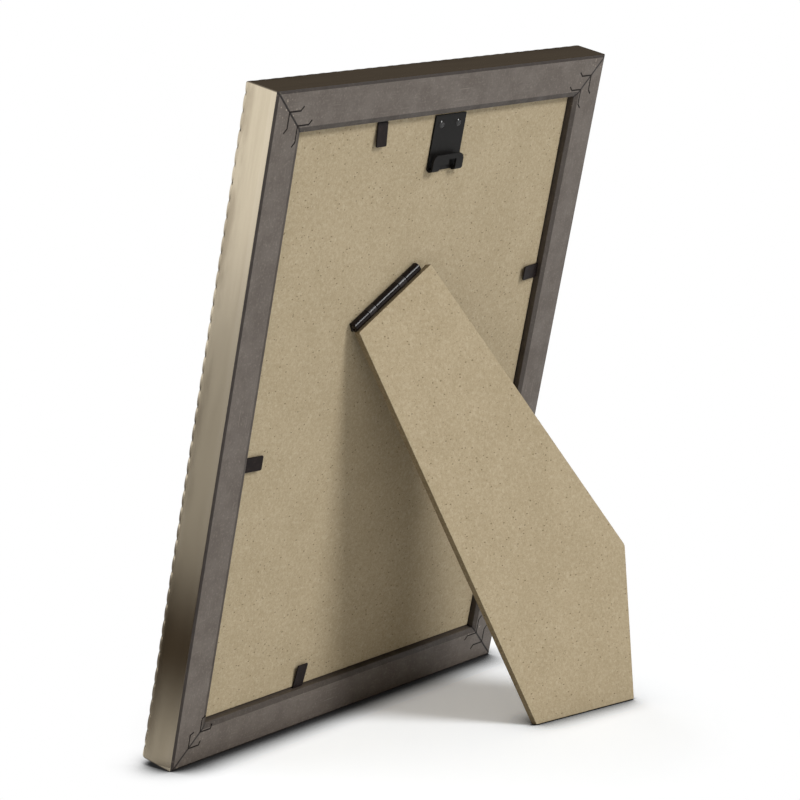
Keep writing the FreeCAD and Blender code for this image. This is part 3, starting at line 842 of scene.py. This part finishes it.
panes = {
    "edge": 13.2,  # outer edge of the frame to the edge of board, card and glass
    "cornerEase": 0.3,
    # name, depths of both faces, easing, node and slot
    "board": ("backing", -4.9, -2.4, 0.15, "backing_board", "fibreboard"),
    "card": ("blankCard", -5.26, -4.93, 0.03, "insert_card", "card"),
    "glass": ("pane", -7.3, -5.3, 0.12, "glass", "pane"),
}


# Glass, card and board: sheets of one outline, one behind the other in the rabbet.
def makePane(kind, finishes):
    name, low, high, ease, node, slot = panes[kind]
    half = wholeFrame["width"] / 2 - panes["edge"]
    top = wholeFrame["height"] - panes["edge"]
    corners = [(-half, panes["edge"]), (half, panes["edge"]), (half, top), (-half, top)]
    outline = easedOutline(corners, panes["cornerEase"])[0]
    sheet = sheetOver(outline, low, high, ease, edge=len(finishes) - 1)
    makePiece(name, [sheet], stand, finishes, "frame", [node])


makePane("board", [boardFace, boardEdge])
makePane("card", [card])
makePane("glass", [glass, glassEdge])
print("stage: board, card and glass made")

hinge = {
    "place": (26.07, -1.15, 131.54),  # lower end of the pin's axis
    "tilt": 30.78,  # degrees in the plane of the board
    "opening": 23.47,  # degrees
    "marks": (0.3, 6.8, 10.25, 20.95, 24.4, 30.9),  # ends of the five knuckles along it
    "gap": 0.1,
    "radius": 1.55,
    "bore": 0.62,
    "pin": 0.55,
    "gauge": 0.4,
    "reach": 8.0,
    "relief": 1.5,
    "cutBack": 2.2,  # ends of a leaf's strip, inside the ends of the barrel
    "lap": 0.6,  # of a knuckle over its strip
    "mouth": (4, 20),  # degrees that the bore's arc starts short of the roll's end, and its end
    "steps": {"roll": 30, "bore": 24, "pin": 32},
    "knuckleEase": 0.07,
    "stripEase": 0.08,
    "stripCorners": (0.1, 0.1, 0.3, 0.5, 0.5, 0.3),
    "pinEase": 0.15,
    # which of the five knuckles are its own, depth of its strip, degrees that it is rolled to
    "leaves": {
        "board": {"body": "frame", "own": (0, 2, 4), "low": -1.25, "finish": 296},
        "leg": {"body": "leg", "own": (1, 3), "low": -0.8, "finish": 276},
    },
}
hingeShut = stand @ moved(*hinge["place"]) @ turned("Y", 180 + hinge["tilt"])
hingeOpen = hingeShut @ turned("X", -hinge["opening"])


# Rolled knuckle of a leaf, as way from the board and down: the strip's outer face runs into an
# arc round the pin up to finish degrees, and the bore's arc comes back to its inner face.
def knuckleSection(low, finish):
    h = hinge
    start = -math.acos(-low / h["radius"])
    outer = np.linspace(start, math.radians(finish), h["steps"]["roll"])
    short, end = h["mouth"]
    inner = np.radians(np.linspace(finish - short, end, h["steps"]["bore"]))
    bottom = h["relief"] + h["lap"]
    return np.concatenate(
        [
            [(low, bottom)],
            np.stack([-np.cos(outer), -np.sin(outer)], 1) * h["radius"],
            np.stack([-np.cos(inner), -np.sin(inner)], 1) * h["bore"],
            [(low + h["gauge"], bottom)],
        ]
    )


# Leaf: its own knuckles, and the strip that runs on from them, cut back at both ends.
def makeLeaf(side, place, steel):
    h, leaf = hinge, hinge["leaves"][side]
    low = leaf["low"]
    section = knuckleSection(low, leaf["finish"])
    shells = []
    for index in leaf["own"]:
        left, right = h["marks"][index] + h["gap"] / 2, h["marks"][index + 1] - h["gap"] / 2
        shells.append(sheetOver(section, left, right, h["knuckleEase"], order="yzx", steps=2))
    left, right = h["marks"][0], h["marks"][-1]
    back = h["cutBack"]
    corners = [
        (left, h["relief"]),
        (right, h["relief"]),
        (right - back, h["relief"] + back),
        (right - back, h["reach"]),
        (left + back, h["reach"]),
        (left + back, h["relief"] + back),
    ]
    outline = easedOutline(corners, h["stripCorners"])[0]
    shells.append(sheetOver(outline, low, low + h["gauge"], h["stripEase"]))
    makePiece(
        f"hingeLeaf_{side}",
        shells,
        place,
        [steel],
        leaf["body"],
        [f"hinge_{side}_leaf"],
    )


makeLeaf("board", hingeShut, hingeSteel)
makeLeaf("leg", hingeOpen, hingeSatin)
turns = np.linspace(0, 2 * math.pi, hinge["steps"]["pin"] + 1)[:-1]
pinRing = np.stack([np.cos(turns), np.sin(turns)], 1) * hinge["pin"]
makePiece(
    "hingePin",
    [sheetOver(pinRing, hinge["marks"][0], hinge["marks"][-1], hinge["pinEase"], order="yzx")],
    hingeShut,
    [pinSteel],
    "frame",
    ["hinge_pin"],
)
print("stage: hinge made")

easelLeg = {
    # along the pin from its lower end and down from its axis, and how far each one is eased
    "corners": [
        (0, 1.6),
        (34.4, 1.6),
        (45.731001, 119.957222),
        (19.4, 161.872952),
        (-16.849074, 140.65964),
    ],
    "reach": (0.3, 0.3, 0.75, 0.25, 0.25),
    "inner": -0.4,  # its faces, as heights over the pin's axis
    "outer": 2.0,
    "ease": 0.16,
}
legOutline = easedOutline(easelLeg["corners"], easelLeg["reach"])[0]
makePiece(
    "easelLeg",
    [sheetOver(legOutline, easelLeg["inner"], easelLeg["outer"], easelLeg["ease"], edge=1)],
    hingeOpen,
    [boardFace, boardEdge],
    "leg",
    ["leg"],
)
print("stage: leg made")

hanger = {
    "place": (-5.25, -2.4, 177.0),
    "rivets": {"a": 4.05, "b": -4.05},
    "rivetUp": 14.4,
    "gauge": 0.6,
    "edgeBreak": 0.12,
    "headRadius": 1.15,
    "headRise": 0.5,
    "headPower": 2.6,
    "headStart": (0.02, 0.1),  # radii of the first two rings of the head
    "dimple": (0.42, 0.22),  # radius and depth
    "shank": [(1.13, -0.04), (0.7, -0.1), (0.7, -2.0)],  # radius and height, below the head
    "steps": {"round": 40, "dome": 14},
}
easedCopy(
    "hanger_plate", "wallHanger", hanger["edgeBreak"], [hangerSteel], "frame"
)


# Rivet head: a dome turned about its shank, 1 - radius ** headPower high, with a small dimple
# left in its middle by the punch, which fades as exp(-radius ** 4).
def makeRivet(name, across):
    h = hanger
    ring = np.linspace(0, 2 * math.pi, h["steps"]["round"] + 1)[:-1]
    first, second = h["headStart"]
    dimple, sunk = h["dimple"]
    shank, below = zip(*h["shank"])
    dome = np.linspace(second, h["headRadius"], h["steps"]["dome"])
    radius = np.concatenate([[first], dome, shank])
    height = h["headRise"] * (1 - (radius / h["headRadius"]) ** h["headPower"])
    height -= sunk * np.exp(-((radius / dimple) ** 4))
    height[-len(below) :] = below
    rings = np.stack(
        [
            radius[:, None] * np.cos(ring)[None],
            np.broadcast_to(height[:, None], (len(radius), len(ring))),
            radius[:, None] * np.sin(ring)[None],
        ],
        -1,
    )
    lap = np.concatenate([ring, [2 * math.pi]])
    spread = np.stack(np.broadcast_arrays(lap[None], radius[:, None]), -1)
    kind = np.zeros((len(radius) - 1, len(ring)))
    shell = skinOver(rings, spread, kind, rings[..., [0, 2]])
    place = stand @ moved(*h["place"]) @ moved(across, h["gauge"], h["rivetUp"])
    makePiece(
        f"hangerRivet_{name}",
        [shell],
        place,
        [rivetSteel],
        "frame",
        [f"hanger_rivet_{name}"],
    )


for name, across in hanger["rivets"].items():
    makeRivet(name, across)
print("stage: hanger made")

studio = {
    "floorReach": 12.0,
    "floorColour": "#F1F5F9",
    # Painted contact shade on the floor, from its ambient occlusion:
    "paintedContactShadeColour": "#0B0908",
    "paintedContactShadeReach": 0.0145,  # metres over which the floor darkens towards the object
    "paintedContactShadeFrom": (0.42, 0.99),  # how open the floor is where it's darkest, and where it's plain
    "paintedContactShadeLeast": 0.02,  # how much of it is left there
    "floorGlow": 0.25,  # added to the floor as the camera, metal and glass see it
    "whiteFrom": (0.062, 0.105),  # metres from whiteMiddle over which it turns plain white
    "whiteMiddle": (-0.01, 0.012, 0.0),
    # The backdrop goes dim between two heights, as sines, along a top edge that falls towards
    # -X. Metal and glass see it reach higher by the rise.
    "backdropUp": (-0.28, 0.0, 1.0),
    "backdropTop": (0.1, 0.24),
    "backdropRise": 0.14,
    "backdropColour": "#FFF0DC",  # as it lights the object
    "skyHigh": "#4E4842",
    "shadeSheetLevel": 0.0005,
    # painted shade for reflections, corner to corner on the floor, colour, and steps: an axis,
    # two places on it in metres and how thick the shade is at each, every step times the one
    # before
    "shadeReflectionSheets": {
        "sideShadeReflection": (
            (0.08, -1.2, 1.2, 0.1),
            "#2E2416",
            [(0, 0.08, 0.17, 0.62, 1.0), (0, 0.19, 0.3, 1.0, 0.65), (0, 0.62, 0.92, 1.0, 0.0)],
        ),
        "frontShadeReflection": (
            (-0.9, -1.2, 0.1, -0.06),
            "#4A3C2C",
            [(0, 0.0, 0.1, 1.0, 0.7), (0, -0.9, -0.4, 0.0, 1.0), (1, -1.2, -0.4, 0.0, 1.0)],
        ),
    },
    "suns": {
        # towards the lamp, strength, how wide it looks in degrees, whether metal mirrors it
        "softKey": ((-0.26, 0.88, 0.7), 2.5, 20, True),
        "softTop": ((0.15, 0.3, 1.0), 0.35, 60, True),
        "softFront": ((0.3, -1.0, 0.55), 1.9, 90, False),
    },
}


def makeStageSheet(name, corners, level, material):
    left, near, right, far = corners
    mesh = bpy.data.meshes.new(name)
    points = [(left, near, level), (right, near, level), (right, far, level), (left, far, level)]
    mesh.from_pydata(points, [], [(0, 1, 2, 3)])
    mesh.materials.append(material)
    sheet = bpy.data.objects.new(name, mesh)
    bpy.context.scene.collection.objects.link(sheet)
    return sheet


def startTree(owner):
    owner.use_nodes = True
    owner.node_tree.nodes.clear()
    return owner.node_tree


# Whether a ray comes from the camera, and whether from it, from metal or from glass.
def seenRays(tree):
    path = addNode(tree, "ShaderNodeLightPath").outputs
    seen = path["Is Camera Ray"]
    for ray in ("Is Glossy Ray", "Is Transmission Ray"):
        seen = addNode(
            tree, "ShaderNodeMath", {"operation": "MAXIMUM"}, {0: seen, 1: path[ray]}
        ).outputs[0]
    return path["Is Camera Ray"], seen


# Floor: one wide matt sheet that keeps the shadow near the object, with painted contact shade
# from its ambient occlusion added there, and runs into plain white further out, for the camera
# and for what metal and glass show alike.
def makeFloor():
    material = bpy.data.materials.new("paleStudioPaper")
    tree = startTree(material)
    # Painted contact shade: the floor's colour and glow darken where its ambient occlusion finds
    # the object near.
    occlusion = addNode(
        tree, "ShaderNodeAmbientOcclusion", {"samples": 16}, {"Distance": studio["paintedContactShadeReach"]}
    ).outputs["AO"]
    low, high = studio["paintedContactShadeFrom"]
    clear = addNode(
        tree,
        "ShaderNodeMapRange",
        smooth,
        {0: occlusion, 1: low, 2: high, 3: studio["paintedContactShadeLeast"]},
    ).outputs[0]
    paperAndPaintedShade = addNode(
        tree,
        "ShaderNodeMix",
        {"data_type": "RGBA"},
        {0: clear, 6: hexColour(studio["paintedContactShadeColour"]), 7: hexColour(studio["floorColour"])},
    ).outputs[2]
    matt = addNode(tree, "ShaderNodeBsdfDiffuse", feeds={"Color": paperAndPaintedShade})
    seen = seenRays(tree)[1]
    glow = addNode(tree, "ShaderNodeMath", times, {0: seen, 1: clear}).outputs[0]
    glow = addNode(tree, "ShaderNodeMath", times, {0: glow, 1: studio["floorGlow"]}).outputs[0]
    glow = addNode(tree, "ShaderNodeEmission", feeds={"Strength": glow}).outputs[0]
    lit = addNode(tree, "ShaderNodeAddShader", feeds={0: matt.outputs[0], 1: glow}).outputs[0]
    place = addNode(tree, "ShaderNodeTexCoord").outputs["Object"]
    away = addNode(
        tree,
        "ShaderNodeVectorMath",
        {"operation": "DISTANCE"},
        {0: place, 1: studio["whiteMiddle"]},
    ).outputs["Value"]
    near, far = studio["whiteFrom"]
    outside = addNode(
        tree, "ShaderNodeMapRange", smooth, {0: away, 1: near, 2: far, 4: seen}
    ).outputs[0]
    white = addNode(tree, "ShaderNodeEmission", feeds={"Strength": clear}).outputs[0]
    mixed = addNode(tree, "ShaderNodeMixShader", feeds={0: outside, 1: lit, 2: white}).outputs[0]
    addNode(tree, "ShaderNodeOutputMaterial", feeds={"Surface": mixed})
    wide = studio["floorReach"]
    makeStageSheet("studioFloor", (-wide, -wide, wide, wide), 0.0, material)


# Painted shade in reflections: a dark sheet on the floor that only the metal's reflections show,
# standing in for the frame's shadow on the floor. The one beside the object is thickest a hand's
# width out and darkens its side, and the one in front of it darkens the flanks of the beads.
def makeShadeReflectionSheet(name, corners, colour, steps):
    material = bpy.data.materials.new(name)
    tree = startTree(material)
    place = addNode(tree, "ShaderNodeTexCoord").outputs["Object"]
    axes = addNode(tree, "ShaderNodeSeparateXYZ", feeds={0: place}).outputs
    thick = 1.0
    for axis, low, high, start, end in steps:
        step = addNode(
            tree, "ShaderNodeMapRange", smooth, {0: axes[axis], 1: low, 2: high, 3: start, 4: end}
        ).outputs[0]
        thick = addNode(tree, "ShaderNodeMath", times, {0: thick, 1: step}).outputs[0]
    gaps = addNode(tree, "ShaderNodeBsdfTransparent").outputs[0]
    paintedShadeCloth = addNode(
        tree, "ShaderNodeBsdfDiffuse", feeds={"Color": hexColour(colour)}
    ).outputs[0]
    mixed = addNode(tree, "ShaderNodeMixShader", feeds={0: thick, 1: gaps, 2: paintedShadeCloth}).outputs[0]
    addNode(tree, "ShaderNodeOutputMaterial", feeds={"Surface": mixed})
    reflectedShadeSheet = makeStageSheet(name, corners, studio["shadeSheetLevel"], material)
    reflectedShadeSheet.visible_camera = False
    reflectedShadeSheet.visible_diffuse = False
    reflectedShadeSheet.visible_transmission = False
    reflectedShadeSheet.visible_shadow = False


# Sky: a white backdrop round the horizon and wherever the camera looks, and dim above it.
def makeSky():
    world = bpy.data.worlds.new("studioSky")
    bpy.context.scene.world = world
    tree = startTree(world)
    place = addNode(tree, "ShaderNodeTexCoord").outputs["Generated"]
    up = addNode(
        tree,
        "ShaderNodeVectorMath",
        {"operation": "DOT_PRODUCT"},
        {0: place, 1: studio["backdropUp"]},
    ).outputs["Value"]
    camera, seen = seenRays(tree)
    unseen = addNode(
        tree, "ShaderNodeMath", {"operation": "SUBTRACT"}, {0: 1.0, 1: camera}
    ).outputs[0]
    low, high = [
        addNode(
            tree,
            "ShaderNodeMath",
            {"operation": "MULTIPLY_ADD"},
            {0: seen, 1: studio["backdropRise"], 2: top},
        ).outputs[0]
        for top in studio["backdropTop"]
    ]
    dim = addNode(
        tree, "ShaderNodeMapRange", smooth, {0: up, 1: low, 2: high, 4: unseen}
    ).outputs[0]
    backdrop = addNode(
        tree,
        "ShaderNodeMix",
        {"data_type": "RGBA"},
        {0: seen, 6: hexColour(studio["backdropColour"]), 7: (1, 1, 1, 1)},
    ).outputs[2]
    colour = addNode(
        tree,
        "ShaderNodeMix",
        {"data_type": "RGBA"},
        {0: dim, 6: backdrop, 7: hexColour(studio["skyHigh"])},
    ).outputs[2]
    light = addNode(tree, "ShaderNodeBackground", feeds={"Color": colour, "Strength": 1.0})
    addNode(tree, "ShaderNodeOutputWorld", feeds={"Surface": light.outputs[0]})


# Lamps: a sun shines along its own -Z, so its +Z is turned towards its place in the sky.
def makeSuns():
    for name, (towards, strength, width, mirrored) in studio["suns"].items():
        data = bpy.data.lights.new(name, "SUN")
        data.energy = strength
        data.angle = math.radians(width)
        lamp = bpy.data.objects.new(name, data)
        lamp.visible_glossy = mirrored
        bpy.context.scene.collection.objects.link(lamp)
        arrow = np.array(towards) / np.linalg.norm(towards)
        side = np.cross((0, 1, 0), arrow)
        side /= np.linalg.norm(side)
        turn = np.eye(4)
        turn[:3, :3] = np.stack([side, np.cross(arrow, side), arrow], 1)
        lamp.matrix_world = Matrix(turn.tolist())


# The photograph's camera, solved from the corners of the frame.
view = {
    "place": (0.67978, 0.537342, 0.279144),
    "right": (-0.62249, 0.78263, 0),
    "up": (-0.15583, -0.12394, 0.97998),
    "forward": (-0.76696, -0.61003, -0.19911),
    "lens": 131.36,
    "sensor": 36,
    "clip": 0.01,
}


def makeCamera():
    data = bpy.data.cameras.new("photoView")
    data.sensor_width = view["sensor"]
    data.lens = view["lens"]
    data.clip_start = view["clip"]
    camera = bpy.data.objects.new("photoView", data)
    bpy.context.scene.collection.objects.link(camera)
    turn = np.eye(4)
    back = -np.array(view["forward"])
    turn[:3, :3] = np.stack([view["right"], view["up"], back], 1)
    turn[:3, 3] = view["place"]
    camera.matrix_world = Matrix(turn.tolist())
    bpy.context.scene.camera = camera


makeFloor()
for name, (corners, colour, steps) in studio["shadeReflectionSheets"].items():
    makeShadeReflectionSheet(name, corners, colour, steps)
makeSky()
makeSuns()
makeCamera()
bpy.context.scene.view_settings.view_transform = "Standard"
print("stage: studio made")
